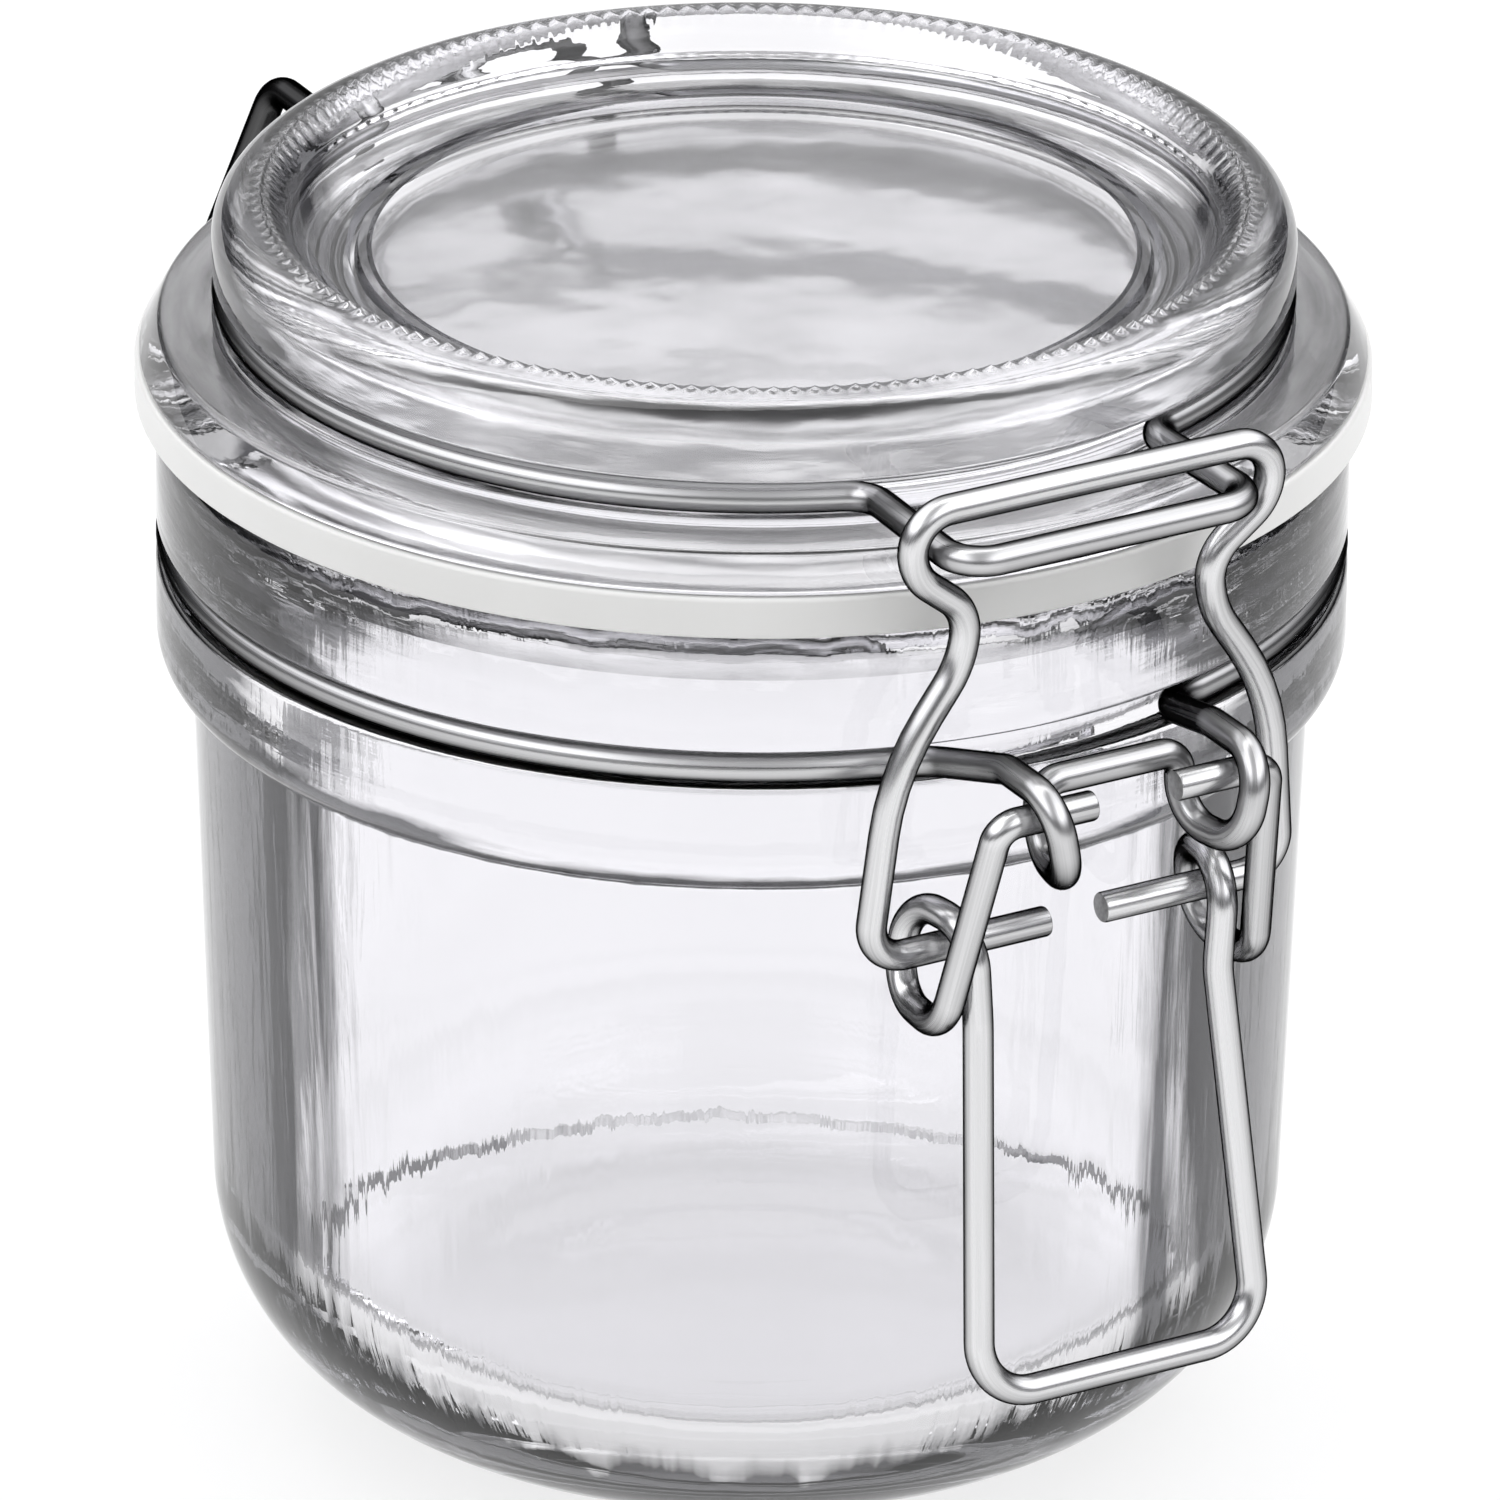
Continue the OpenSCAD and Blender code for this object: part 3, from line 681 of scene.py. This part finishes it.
def make_gasket():
    """The rubber ring, flat with softened outer edges."""
    bore_r = PLUG_R + GASKET_PLAY
    edge_r = GASKET_R - GASKET_ROUND
    low_z = LIP_Z + GASKET_FILM
    top_z = GASKET_TOP_Z - GASKET_FILM
    profile = [(bore_r, low_z)]
    profile += arc((edge_r, low_z + GASKET_ROUND), GASKET_ROUND, -90, 0, 6)
    profile += arc((edge_r, top_z - GASKET_ROUND), GASKET_ROUND, 0, 90, 6)
    profile += [(bore_r, top_z)]
    bm = turned(profile, GASKET_SEGMENTS, closed=True)
    new_piece("rubber_ring", bm, [RUBBER], "lid", "gasket")


def make_lid_wire():
    """The lid's wire, with painted shade along its hinge legs, which take a darker copy of its steel."""
    bm = bent_wire(*LID_WIRE)
    for face in bm.faces:
        # Painted shade: the hinge legs take the darker steel
        if face.calc_center_median().y > HINGE_LEGS_Y * MM:
            face.material_index = 2
    new_piece("lid_ring_wire", bm, [RING_STEEL, CUT_STEEL, HINGE_PAINTED_SHADE_STEEL], "lid", "lid_wire")


make_jar()
make_lid()
make_gasket()
new_piece("neck_ring_wire", bent_wire(*NECK_WIRE), [RING_STEEL, CUT_STEEL], "jar", "neck_wire")
make_lid_wire()
new_piece("spring_bail", bent_wire(*BAIL), [CLASP_STEEL, CUT_STEEL], "bail", "bail")
new_piece("closing_lever", bent_wire(*LEVER), [CLASP_STEEL, CUT_STEEL], "lever", "lever")


# Studio, in metres

TABLE_R = 3.0
TABLE_DROP = 0.0003


def make_floor():
    """A plain pale table, lit from below so that no shadow darkens the glass."""
    bm = bmesh.new()
    bmesh.ops.create_circle(bm, cap_ends=True, segments=96, radius=TABLE_R)
    bmesh.ops.translate(bm, vec=(0.0, 0.0, -TABLE_DROP), verts=bm.verts)
    mesh = bpy.data.meshes.new("floor")
    bm.to_mesh(mesh)
    bm.free()
    material, tree, shader = new_material("pale_table", {
        "Roughness": 0.6,
        "Emission Color": (1.0, 1.0, 1.0, 1.0),
        "Emission Strength": 0.75,
    })
    place = add_node(tree, "TexCoord")
    grain = add_node(tree, "TexNoise", {"Scale": 4.0})
    paper = add_ramp(tree, (0.0, (0.2, 0.2, 0.2)), (1.0, (0.23, 0.23, 0.23)))
    tree.links.new(place.outputs["Object"], grain.inputs["Vector"])
    tree.links.new(grain.outputs["Fac"], paper.inputs["Fac"])
    tree.links.new(paper.outputs["Color"], shader.inputs["Base Color"])
    mesh.materials.append(material)
    floor = bpy.data.objects.new("floor", mesh)
    bpy.context.collection.objects.link(floor)


def make_softbox(name, place, aim, width, height, power):
    """A soft rectangular light that points at its aim."""
    data = bpy.data.lights.new(name, "AREA")
    data.shape = "RECTANGLE"
    data.size = width
    data.size_y = height
    data.energy = power
    light = bpy.data.objects.new(name, data)
    bpy.context.collection.objects.link(light)
    light.location = place
    light.rotation_euler = (Vector(aim) - Vector(place)).to_track_quat("-Z", "Y").to_euler()


def soft_step(tree, start, end, before, after):
    """A smooth step from one value to another between a start and an end."""
    return add_node(
        tree, "MapRange", {"From Min": start, "From Max": end, "To Min": before, "To Max": after},
        interpolation_type="SMOOTHSTEP",
    )


def make_world():
    """A dim studio with a wide pale screen at either side and a white backdrop behind the jar."""
    world = bpy.data.worlds.new("studio")
    bpy.context.scene.world = world
    world.use_nodes = True
    tree = world.node_tree
    links = tree.links
    room = tree.nodes["Background"]
    place = add_node(tree, "TexCoord")
    split = add_node(tree, "SeparateXYZ")
    sky = add_ramp(
        tree, (0.25, (0.04, 0.04, 0.043)), (0.5, (0.9, 0.9, 0.92)), (0.85, (0.7, 0.7, 0.71)),
    )
    links.new(place.outputs["Generated"], split.inputs[0])
    links.new(split.outputs["Z"], sky.inputs["Fac"])
    links.new(sky.outputs["Color"], room.inputs["Color"])

    sideways = add_node(tree, "VectorMath", {1: TO_THE_RIGHT}, operation="DOT_PRODUCT")
    either_side = add_node(tree, "Math", operation="ABSOLUTE")
    screens = soft_step(tree, 0.15, 0.45, 0.7, 2.6)
    links.new(place.outputs["Generated"], sideways.inputs[0])
    links.new(sideways.outputs["Value"], either_side.inputs[0])
    links.new(either_side.outputs["Value"], screens.inputs["Value"])
    links.new(screens.outputs["Result"], room.inputs["Strength"])

    ahead = add_node(tree, "VectorMath", {1: STRAIGHT_AHEAD}, operation="DOT_PRODUCT")
    beyond = soft_step(tree, 0.2, 0.5, 0.0, 1.0)
    width = soft_step(tree, 0.3, 0.45, 0.6, 0.0)
    glow = add_node(tree, "Math", operation="MULTIPLY")
    backdrop = add_node(tree, "Background", {"Color": (1.0, 1.0, 1.0, 1.0)})
    links.new(place.outputs["Generated"], ahead.inputs[0])
    links.new(ahead.outputs["Value"], beyond.inputs["Value"])
    links.new(either_side.outputs["Value"], width.inputs["Value"])
    links.new(beyond.outputs["Result"], glow.inputs[0])
    links.new(width.outputs["Result"], glow.inputs[1])
    links.new(glow.outputs["Value"], backdrop.inputs["Strength"])

    both = add_node(tree, "AddShader")
    links.new(room.outputs["Background"], both.inputs[0])
    links.new(backdrop.outputs["Background"], both.inputs[1])
    links.new(both.outputs["Shader"], tree.nodes["World Output"].inputs["Surface"])


make_floor()
make_world()
make_softbox("top_light", place=(0.0, 0.1, 0.9), aim=(0.0, 0.0, 0.0), width=0.8, height=0.25, power=1.5)

scene = bpy.context.scene
scene.view_settings.view_transform = "Standard"
scene.cycles.max_bounces = 24
scene.cycles.transmission_bounces = 24
scene.cycles.glossy_bounces = 8
